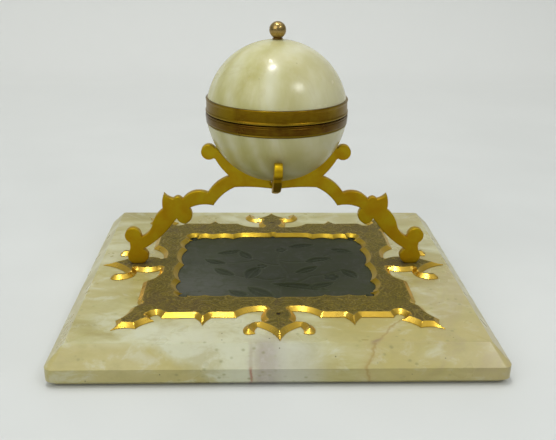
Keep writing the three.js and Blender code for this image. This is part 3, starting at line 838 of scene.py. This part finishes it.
def leaf_line(start, angle, length, bend):
    """A short curved leaf stroke."""
    t = np.linspace(0, 1, 14)
    a = math.radians(angle) + bend * t
    step = length / len(t)
    return np.array(start) + np.cumsum(np.stack([np.cos(a), np.sin(a)], 1) * step, 0)


def rinceau(start, end, pitch, half):
    """A running scroll: a waved stem with a spiral in each bay. Gives thin stems and thick leaves."""
    start, end = np.array(start, float), np.array(end, float)
    length = np.linalg.norm(end - start)
    along = (end - start) / length
    across = np.array((-along[1], along[0]))
    heading = math.degrees(math.atan2(along[1], along[0]))
    bays = max(1, round(length / pitch))
    pitch = length / bays
    s = np.linspace(0, length, int(length / 0.3))
    sway = half * 0.42 * np.sin(math.pi * s / pitch)
    stems = [start + np.outer(s, along) + np.outer(sway, across)]
    leaves = []
    for i in range(bays):
        side = 1 if i % 2 else -1
        centre = start + along * pitch * (i + 0.5) + across * side * half * 0.42
        radius = half * 0.50
        stems.append(spiral(centre, radius, heading - 90 * side, 1.9, side))
        for angle in (35, 90, 145):
            a = math.radians(angle)
            root = centre + radius * (along * math.cos(a) + across * side * math.sin(a))
            leaves.append(leaf_line(root, heading + side * (angle - 35), half * 0.5, side))
        root = centre - across * side * half * 1.05
        for turn, bend in ((20, 0.9), (160, -0.9)):
            leaves.append(leaf_line(root, heading - side * turn, half * 0.42, side * bend))
    return stems, leaves


def engraving_lines():
    """Thin stems and thick leaves chased over the frame's flat top."""
    stems, leaves = [], []
    middle_y, middle_x = 50.2, 58.2
    for side in (-1, 1):
        for end in (-1, 1):
            runs = [
                rinceau((0, side * middle_y), (end * 49, side * middle_y), 9.6, 7.0),
                rinceau((side * middle_x, end * 4), (side * middle_x, end * 44), 9.4, 7.0),
            ]
            for more_stems, more_leaves in runs:
                stems += more_stems
                leaves += more_leaves
            corner = np.array((end * 60.5, side * 52.5))
            outward = math.degrees(math.atan2(side * 0.9, end))
            stems.append(spiral(corner, 4.2, outward, 2.0, end * side))
            stems.append(spiral(corner * (1.13, 1.18), 2.6, outward + 180, 1.6, -end * side))
            for spread in (-42, -20, 0, 20, 42):
                leaves.append(leaf_line(corner + (end * 3, side * 3), outward + spread, 12, spread / 60))
            lean = end * side
            for i, reach in enumerate((63, 66.5, 70)):
                front, across = (end * 1.1, side * reach), (side * (reach + 10), end * 1.1)
                leaves.append(leaf_line(front, 90 * side - 38 * lean, 6.5 - i, -1.3 * lean))
                leaves.append(leaf_line(across, 90 - 90 * side + 38 * lean, 7 - i, 1.3 * lean))
        stems.append(leaf_line((0, side * 61), 90 * side, 17, 0))
        stems.append(leaf_line((side * 70, 0), 90 - 90 * side, 18, 0))
    return np.concatenate(stems), np.concatenate(leaves)


def make_frame():
    outer, window = rims = [counterclockwise(frame_outline()), counterclockwise(window_outline())]
    drilled = [circle_points((0, side * STUD_Y), STUD_HOLE, 0, 330, 0.5) for side in (-1, 1)]
    spacing = 0.45
    mitres = mitre_points(rims, FRAME_BEVEL)
    rings = [offset_points(rims, share * FRAME_BEVEL) for share in (0.25, 0.5, 0.75, 1)]
    bevel_points = np.concatenate(rings)
    bevel_points = bevel_points[gap(bevel_points, mitres) > 0.12]
    grid = hex_grid(outer, spacing)
    grid = grid[inside(grid, outer) & ~inside(grid, window)]
    grid = grid[(gap(grid, np.concatenate(drilled)) > 0.3) & (gap(grid, mitres) > spacing * 0.6)]
    grid = grid[edge_distance(grid, rims) > FRAME_BEVEL + spacing * 0.55]
    loops = [*rims, *drilled]
    walls = np.concatenate(loops)
    flat, triangles = fill(np.concatenate([walls, mitres, bevel_points, grid]), loops)
    if not np.allclose(flat[: len(walls)], walls, atol=1e-4):
        raise ValueError("frame_plate: the fill moved the rim")

    depth = edge_distance(flat, rims)
    depth[: len(outer) + len(window)] = 0
    rise = np.clip(depth / FRAME_BEVEL, 0, 1)
    height = FRAME_BOTTOM + FRAME_LAND + (FRAME_TOP - FRAME_BOTTOM - FRAME_LAND) * rise
    stems, leaves = engraving_lines()
    thin, thick = gap(flat, stems) / 0.36, gap(flat, leaves) / 0.62
    relief = np.maximum(np.exp(-(thin**2)), np.exp(-(thick**4)))
    flat_top = np.clip((depth - FRAME_BEVEL - 0.15) / 0.5, 0, 1)
    height -= flat_top * 0.16 * (1 - relief)
    relief = relief * flat_top
    # painted highlight: a gold line along the edge where each bevel meets the flat top, which the frame's
    # material reads
    wear_and_painted_highlight = np.exp(-(((depth - FRAME_BEVEL) / 0.55) ** 2))

    bottom = len(flat)
    verts = np.concatenate([np.column_stack([flat, height]), np.insert(walls, 2, FRAME_BOTTOM, axis=1)])
    faces = [tuple(int(i) for i in t) for t in triangles]
    bevel = rise[triangles].mean(1) < 0.97
    at_window = edge_distance(flat, [window]) < edge_distance(flat, [outer])
    window_side = at_window[triangles].any(1)
    pick = [(2 if near else 1) if low else 0 for low, near in zip(bevel, window_side)]
    _, under = fill(walls, loops)
    faces += [(bottom + int(c), bottom + int(b), bottom + int(a)) for a, b, c in under]
    start = 0
    for loop in loops:
        size = len(loop)
        for i in range(size):
            a, b = start + i, start + (i + 1) % size
            wall = (bottom + a, bottom + b, b, a)
            faces.append(wall[::-1] if start else wall)
        start += size
    pick += [1] * (len(faces) - len(pick))
    looks = [engraved_gilt(), BEVEL_GILT, WINDOW_GILT]
    fields = {"relief": relief, "wear_and_painted_highlight": wear_and_painted_highlight}
    shape = verts, faces
    piece("frame_engraved", shape, looks, "root", "frame_plate", "engraved_gilt", 24, pick, **fields)


# ---------------------------------------------------------------- carved plaque
def leaf_field(points, base, angle, length, width, bend):
    """0..1 over one leaf, its rib and side veins, and how near its rim a point is."""
    turn = math.radians(angle)
    offset = points - np.array(base)
    u = (offset[:, 0] * math.cos(turn) + offset[:, 1] * math.sin(turn)) / length
    v = -offset[:, 0] * math.sin(turn) + offset[:, 1] * math.cos(turn)
    swell = np.sin(np.clip(u, 0, 1) * math.pi)
    v = v - bend * swell
    within = (u > 0) & (u < 1)
    room = np.where(within, width / 2 * swell**0.8 - np.abs(v), -1.0)
    body = np.clip(room / 0.8, 0, 1)
    rib = np.exp(-((v / 0.35) ** 2)) * body
    teeth = np.abs(((u * length / 2.1 + np.abs(v) * 0.55) % 1) - 0.5) * 2
    veins = np.clip(1 - teeth * 3.2, 0, 1) * body
    rim = np.exp(-((room / 0.42) ** 2)) * within
    return body, rib, veins, rim


# base, heading in degrees, length, width and bend of each carved leaf
LEAVES = [
    ((-21, -13), 138, 15, 7.0, 0.9), ((-15, -17), 66, 17, 8.5, 0.4), ((-14, -36), 146, 12, 6.5, 0.6),
    ((-1, -38), 138, 18, 8.5, 0.8), ((27, -31), 165, 31, 7.0, -1.6), ((35, -5), -58, 14, 7.0, 0.8),
    ((30, -21), 200, 15, 6.0, 0.9), ((-26, 2), 150, 14, 6.0, 0.8), ((-12, 8), 120, 14, 6.0, 0.6),
    ((10, -10), 35, 16, 6.5, -0.8), ((16, 4), 20, 17, 6.5, 0.9), ((-32, 16), 20, 15, 6.0, -0.8),
    ((8, 25), 12, 16, 6.0, 0.8), ((32, 22), -20, 13, 6.0, 0.6),
]
STEMS = [
    ((2, -37), [(5, -20, 1.5), (3, 0, -2), (4, 20, 1.5)]),
    ((4, -23), [(18, -14, -2), (36, -6, -1)]),
    ((4, -16), [(-10, -16, 2), (-22, -12, 1)]),
    ((3, 0), [(-10, 7, 1.5), (-25, 3, 1)]),
    ((4, 6), [(16, 5, -1.5), (30, 14, -1)]),
]
FLOWERS = [((4, 21), 3.4), ((29, -14.5), 4.6), ((-7, -1), 3.2)]
CORNER_POCKETS = [(46.0, 37.3), (-46.0, 37.3), (-46.0, -37.3), (46.0, -37.3)]


def make_plaque():
    low, high = box_mm("slate_panel")
    step = 0.5
    xs, ys = (np.linspace(low[i], high[i], int((high[i] - low[i]) / step) + 1) for i in (0, 1))
    grid = np.stack(np.meshgrid(xs, ys), -1).reshape(-1, 2)
    height, leaf, edge = np.zeros((3, len(grid)))
    for carved in LEAVES:
        body, rib, veins, rim = leaf_field(grid, *carved)
        height += -0.6 * body + 0.35 * rib + 0.18 * veins + 0.15 * rim
        leaf = np.maximum(leaf, body)
        edge = np.maximum.reduce([edge, 0.8 * rim, 0.75 * rib, 0.45 * veins])
    stems = np.concatenate([step_points(start, steps, 0.5) for start, steps in STEMS])
    stem = np.exp(-((gap(grid, stems) / 0.5) ** 2)) * (1 - leaf)
    height -= 0.22 * stem
    edge = np.maximum(edge, 0.35 * stem)
    for centre, radius in FLOWERS:
        offset = grid - np.array(centre)
        r = np.linalg.norm(offset, axis=1)
        petals = np.abs(np.cos(2.5 * np.arctan2(offset[:, 1], offset[:, 0])))
        room = radius * (0.72 + 0.28 * petals) - r
        body = np.clip(room / 0.8, 0, 1)
        height += -0.4 * body + 0.35 * np.exp(-((r / 1.1) ** 2))
        leaf = np.maximum(leaf, body)
        edge = np.maximum.reduce([edge, np.exp(-((room / 0.4) ** 2)) * 0.8, np.exp(-((r / 0.9) ** 2))])
    # painted shadow: the corners are sunk under the frame's curls, and the leaf attribute marks them dark
    for centre in CORNER_POCKETS:
        pocket = np.exp(-((np.linalg.norm(grid - np.array(centre), axis=1) / 2.0) ** 4))
        height -= 1.6 * pocket
        leaf = np.maximum(leaf, pocket)
    rim_room = np.minimum(high[0] - np.abs(grid[:, 0]), high[1] - np.abs(grid[:, 1]))
    height = high[2] - 0.02 + height * np.clip(rim_room / 3 - 0.3, 0, 1)

    index = np.arange(len(grid)).reshape(len(ys), len(xs))
    corners = [index[:-1, :-1], index[:-1, 1:], index[1:, 1:], index[1:, :-1]]
    faces = np.stack(corners, -1).reshape(-1, 4).tolist()
    ring = [*index[0], *index[1:, -1], *index[-1, -2::-1], *index[-2:0:-1, 0]]
    bottom, count = len(grid), len(ring)
    verts = np.concatenate([np.column_stack([grid, height]), np.insert(grid[ring], 2, low[2], axis=1)])
    faces += [(bottom + i, bottom + (i + 1) % count, ring[(i + 1) % count], ring[i]) for i in range(count)]
    faces.append(tuple(range(bottom + count - 1, bottom - 1, -1)))
    shape, fields = (verts, faces), {"leaf": leaf, "edge": edge}
    piece("plaque_carved", shape, [carved_slate()], "root", "slate_panel", "carved_slate", 60, **fields)


# ---------------------------------------------------------------- onyx slab and felt
def ring_points(half_x, half_y, radius, z, per_corner=10, per_side=24):
    """A rounded rectangle at height z, counterclockwise, with points along its sides too."""
    signs = [(1, 1), (-1, 1), (-1, -1), (1, -1)]
    centres = [np.array((sx * (half_x - radius), sy * (half_y - radius))) for sx, sy in signs]

    def on_corner(centre, quarters):
        a = math.radians(90 * quarters)
        return centre + radius * np.array((math.cos(a), math.sin(a)))

    points = []
    for corner, centre in enumerate(centres):
        points += [on_corner(centre, corner + i / per_corner) for i in range(per_corner + 1)]
        start, end = points[-1], on_corner(centres[(corner + 1) % 4], corner + 1)
        points += [start + (end - start) * t for t in np.linspace(0, 1, per_side + 1)[1:-1]]
    return np.insert(points, 2, z, axis=1)


def make_slab():
    sides = [(-FOOT_BEVEL, SLAB_BOTTOM), (0.0, SLAB_BOTTOM + FOOT_BEVEL)]
    sides += [(0.0, UPRIGHT_TOP), (-BEVEL, SLAB_TOP)]
    rings = [ring_points(HALF_X + inset, HALF_Y + inset, 4.0 + inset / 3, z) for inset, z in sides]
    for grow in (26.0, 10.0, 0.0):
        rings.append(ring_points(RECESS_X + grow, RECESS_Y + grow, 0.6 + grow / 30, SLAB_TOP))
    rings.append(ring_points(RECESS_X, RECESS_Y, 0.6, SLAB_TOP - RECESS_DEPTH))
    piece("slab", stacked(rings), [slab_onyx()], "root", "onyx_base", "slab_onyx", 40)


def make_felt():
    low, high = box_mm("base_felt")
    levels = [(-0.3, low[2]), (0.0, low[2] + 0.25), (0.0, high[2] - 0.1), (-0.15, high[2] - 0.02)]
    shape = stacked([ring_points(high[0] + inset, high[1] + inset, 4, z) for inset, z in levels])
    felt = piece("felt_sheet", shape, [green_felt()], "root", "base_felt", "green_felt", 40)


# ---------------------------------------------------------------- globe, bands and finial
def make_globe():
    inner, bore_radius, floor_radius = GLOBE_RADIUS - GLOBE_WALL, 1.4, 4.5
    low, high = box_mm("bowl_rim_band")[0][2] - 0.1, box_mm("lid_rim_band")[1][2] + 0.1
    rim_top, rim_bottom = SEAM - 1.5, SEAM + 1.3

    def slope(z, radius):
        return math.degrees(math.asin((z - GLOBE_CENTRE) / radius))

    floor_angle = math.degrees(math.acos(floor_radius / inner))
    bore = math.degrees(math.acos(bore_radius / GLOBE_RADIUS))
    drop = math.sqrt(inner**2 - floor_radius**2)

    bowl = arc(GLOBE_CENTRE, GLOBE_RADIUS, -bore, slope(low, GLOBE_RADIUS), 48)
    bowl += [(BAND_SEAT, low), (BAND_SEAT, rim_top)]
    bowl += arc(GLOBE_CENTRE, inner, slope(rim_top, inner), -floor_angle, 30)
    bowl += [(bore_radius, GLOBE_CENTRE - drop)]
    # the bowl takes 0.16 of painted shade and painted reflection, the lid none
    stone = globe_onyx("bowl_onyx_stone", (0, 35, 20), (7, 3, 2), 0.16)
    piece("globe_lower", revolve(bowl, 144), [stone], "root", "bowl_onyx", "globe_onyx", 35)

    start = slope(rim_bottom, inner)
    lid = [(inner * math.cos(math.radians(start)), rim_bottom), (BAND_SEAT, rim_bottom), (BAND_SEAT, high)]
    lid += arc(GLOBE_CENTRE, GLOBE_RADIUS, slope(high, GLOBE_RADIUS), bore, 48)
    lid += [(bore_radius, GLOBE_CENTRE + drop)]
    lid += arc(GLOBE_CENTRE, inner, floor_angle, start + 2, 30)
    stone = globe_onyx("lid_onyx_stone", (0, 62, 30), (3, 8, 5), 0.0)
    piece("globe_upper", revolve(lid, 144), [stone], "lid", "lid_onyx", "globe_onyx", 35)


def make_bands():
    low, top = box_mm("bowl_rim_band")[0][2], box_mm("bowl_rim_band")[1][2]
    profile = [(33.2, low), (34.75, low), (35.05, low + 0.45), (34.8, low + 0.95), (35.1, low + 1.4)]
    profile += [(35.3, top - 1.2), (35.0, top - 0.9), (35.3, top - 0.6), (35.1, top)]
    profile += [(21.0, top), (21.0, top - 1.0), (33.2, top - 1.0)]
    shape = revolve(rounded(profile, 0.25, 3), 180)
    material = band_gilt("band_gilt_lower", low, *BAND_LOWER)
    piece("rim_band_lower", shape, [material], "root", "bowl_rim_band", "band_gilt", 40)
    low, top = box_mm("lid_rim_band")[0][2], box_mm("lid_rim_band")[1][2]
    profile = [(27.5, low), (35.1, low), (35.35, low + 0.45), (35.3, low + 0.9), (34.95, low + 1.3)]
    profile += [(34.9, top - 1.5), (35.1, top - 0.9), (35.15, top - 0.3), (34.9, top)]
    profile += [(33.2, top), (33.2, low + 0.8), (27.5, low + 0.8)]
    shape = revolve(rounded(profile, 0.25, 3), 180)
    material = band_gilt("band_gilt_upper", low - 0.3, *BAND_UPPER)
    piece("rim_band_upper", shape, [material], "lid", "lid_rim_band", "band_gilt", 40)


def make_finial():
    low, high = box_mm("finial_ball")
    radius = 4.1
    collar = GLOBE_CENTRE + GLOBE_RADIUS + 0.1
    profile = [(0, low[2]), (0.8, low[2]), (1.0, low[2] + 0.2), (1.0, collar), (2.5, collar)]
    profile += [(2.6, collar + 0.1), (2.6, collar + 0.35), (2.3, collar + 0.6), (1.7, collar + 0.7)]
    start = -math.degrees(math.acos(1.75 / radius))
    profile += arc(high[2] - radius, radius, start, 88, 30) + [(0, high[2])]
    piece("finial", revolve(profile, 64), [POLISHED], "lid", "finial_ball", "polished_gilt", 45)


def make_liner():
    low, high = box_mm("ink_liner")
    lip, outer, wall = high[0], 19.8, 2.0
    floor, top = low[2], high[2]
    outside, bowl = np.linspace(0.2, math.pi / 2, 14), np.linspace(math.pi / 2, 0.15, 14)
    profile = [(0, floor), (11.0, floor + 0.1)]
    profile += [(11.0 + 8.8 * math.sin(a), floor + 9.6 - 9.5 * math.cos(a)) for a in outside]
    profile += [(outer, top - 1.5), (lip - 0.3, top - 1.4), (lip, top - 1.1), (lip, top - 0.4)]
    profile += [(lip - 0.4, top), (outer - wall + 0.4, top), (outer - wall, top - 0.5)]
    profile += [(9.6 + 8.2 * math.sin(a), floor + 10.2 - 8.2 * math.cos(a)) for a in bowl]
    profile += [(0, floor + 2.0)]
    piece("glass_liner", revolve(profile, 96), [clear_glass()], "root", "ink_liner", "liner_glass", 50)


# ---------------------------------------------------------------- hinge
def rod_mesh(radius, left, right, hole=0.0, dome=0.2):
    """A rod or, with a hole, a knuckle, along the hinge's axis."""
    if hole:
        profile = [(radius, left + dome), (radius, right - dome), (radius - dome, right), (hole, right)]
        profile += [(hole, left), (radius - dome, left)]
    else:
        rounds = [(radius * math.sin(a), dome * (1 - math.cos(a))) for a in np.linspace(0, math.pi / 2, 7)]
        profile = [(r, left + rise) for r, rise in rounds] + [(r, right - rise) for r, rise in rounds[::-1]]
    verts, faces = revolve(profile, 40)
    return [(vz, HINGE[1] + vy, HINGE[2] - vx) for vx, vy, vz in verts], faces


def rivet(x, y, z, radius=0.95, height=0.4):
    """A domed rivet head on a face that looks back."""
    dome = [(radius * math.cos(a), height * math.sin(a)) for a in np.linspace(0, math.pi / 2, 6)]
    verts, faces = revolve([(0, -0.3), (radius, -0.3), *dome[:-1], (0, height)], 24)
    return [(x + vx, y + vz, z - vy) for vx, vy, vz in verts], faces


def merged(parts):
    verts, faces = [], []
    for more_verts, more_faces in parts:
        shift = len(verts)
        verts += more_verts
        faces += [tuple(i + shift for i in f) for f in more_faces]
    return verts, faces


def make_hinge():
    """Two leaves that sit on the bands, with rolled knuckles, rivets and a pin with domed ends."""
    half, split, knuckle, bore, clear = 8.0, 3.2, 1.9, 1.15, 2.3
    near, reach, back, band = 0.6, 5.2, HINGE[1] - 0.5, 35.72
    inner = split - 0.3

    def leaf(up, half_outline, rods):
        corners = half_outline + [(-across, rise) for across, rise in half_outline[::-1]]
        outline = step_points(corners[0], corners[1:] + corners[:1], 0.5)[:-1]
        outline[:, 1] = SEAM + up * outline[:, 1]
        plate = plate_mesh(
            outline,
            lambda flat: -np.sqrt(band**2 - flat[:, 0] ** 2),
            lambda flat: np.full(len(flat), -back),
            lambda across, rise, depth: (across, -depth, rise),
        )
        rivets = [rivet(side * 5.4, back, SEAM + up * 3.9) for side in (-1, 1)]
        return merged([plate, *rivets, *(rod_mesh(knuckle, left, right, bore) for left, right in rods)])

    corners = [(-half, reach), (-half, near), (-split, near), (-split, clear)]
    lower = leaf(-1, corners, [(-half, -split), (split, half)])
    corners = [(-half, reach), (-half, clear), (-inner, clear), (-inner, near)]
    upper = leaf(1, corners, [(-inner, inner)])
    piece("hinge_leaf_lower", lower, [HINGE_GILT], "root", "bowl_hinge_leaf", "band_gilt", 40)
    piece("hinge_leaf_upper", upper, [HINGE_GILT], "lid", "lid_hinge_leaf", "band_gilt", 40)
    end = box_mm("hinge_pin")[1][0]
    pin = rod_mesh(0.9, -end, end, dome=0.4)
    piece("hinge_pin_turned", pin, [FIXING], "root", "hinge_pin", "band_gilt", 60)


def carry_over(names, material):
    """CAD nodes whose own shape is kept get this material."""
    for name in names:
        materials = frame["nodes"][name].data.materials
        materials.clear()
        materials.append(material)


# ---------------------------------------------------------------- the object
BEVEL_GILT = gilt("bevel_gilt", (0.68, 0.450, 0.070), (0.42, 0.25, 0.02), 0.5, (0.23, 0.37), 0.15)
MATT_GILT = gilt("matt_gilt_plate", (0.49, 0.350, 0.012), (0.46, 0.245, 0.006), 0.75, (0.42, 0.58), 0.35)
WINDOW_GILT = gilt("window_gilt", (0.44, 0.30, 0.03), (0.32, 0.20, 0.02), 0.5, (0.34, 0.48), 0.2)
HINGE_GILT = gilt("hinge_gilt", (0.30, 0.20, 0.03), (0.20, 0.12, 0.02), 0.6, (0.28, 0.42), 0.15, 0.3)
BAND_UPPER = [(0.30, 0.20, 0.020), (0.155, 0.080, 0.003), (0.235, 0.150, 0.004)]  # bead, body, patches
BAND_LOWER = [(0.22, 0.145, 0.012), (0.080, 0.033, 0.004), (0.150, 0.085, 0.004)]
POLISHED = gilt("finial_gilt", (0.40, 0.28, 0.10), (0.28, 0.17, 0.05), 0.6, (0.2, 0.36), 0.2)
FIXING = gilt("fixing_brass_metal", (0.42, 0.30, 0.09), (0.26, 0.17, 0.05), 0.6, (0.3, 0.5), 0.2, 0.4)
DARK_FIXING = gilt("dark_fixing_brass", (0.07, 0.05, 0.025), (0.04, 0.03, 0.015), 0.6, (0.45, 0.6), 0.2)

make_camera()
make_lights()
make_stage()
make_slab()
make_felt()
make_frame()
make_plaque()
cut_plate("bridge", bridge_outline(), lambda a, up, t: (a, -t, up), "bridge_plate")
cut_plate("bracket", bracket_outline(), lambda a, up, t: (t, a, up), "cross_bracket")
make_globe()
make_bands()
make_finial()
make_liner()
make_hinge()
carry_over(["globe_nut", "globe_screw", "foot_screw_left", "foot_screw_right"], FIXING)
carry_over(["frame_stud_front", "frame_stud_back"], DARK_FIXING)
washers = [name for name in frame["nodes"] if "washer" in name]
carry_over([*washers, "frame_nut_front", "frame_nut_back", "finial_nut"], FIXING)
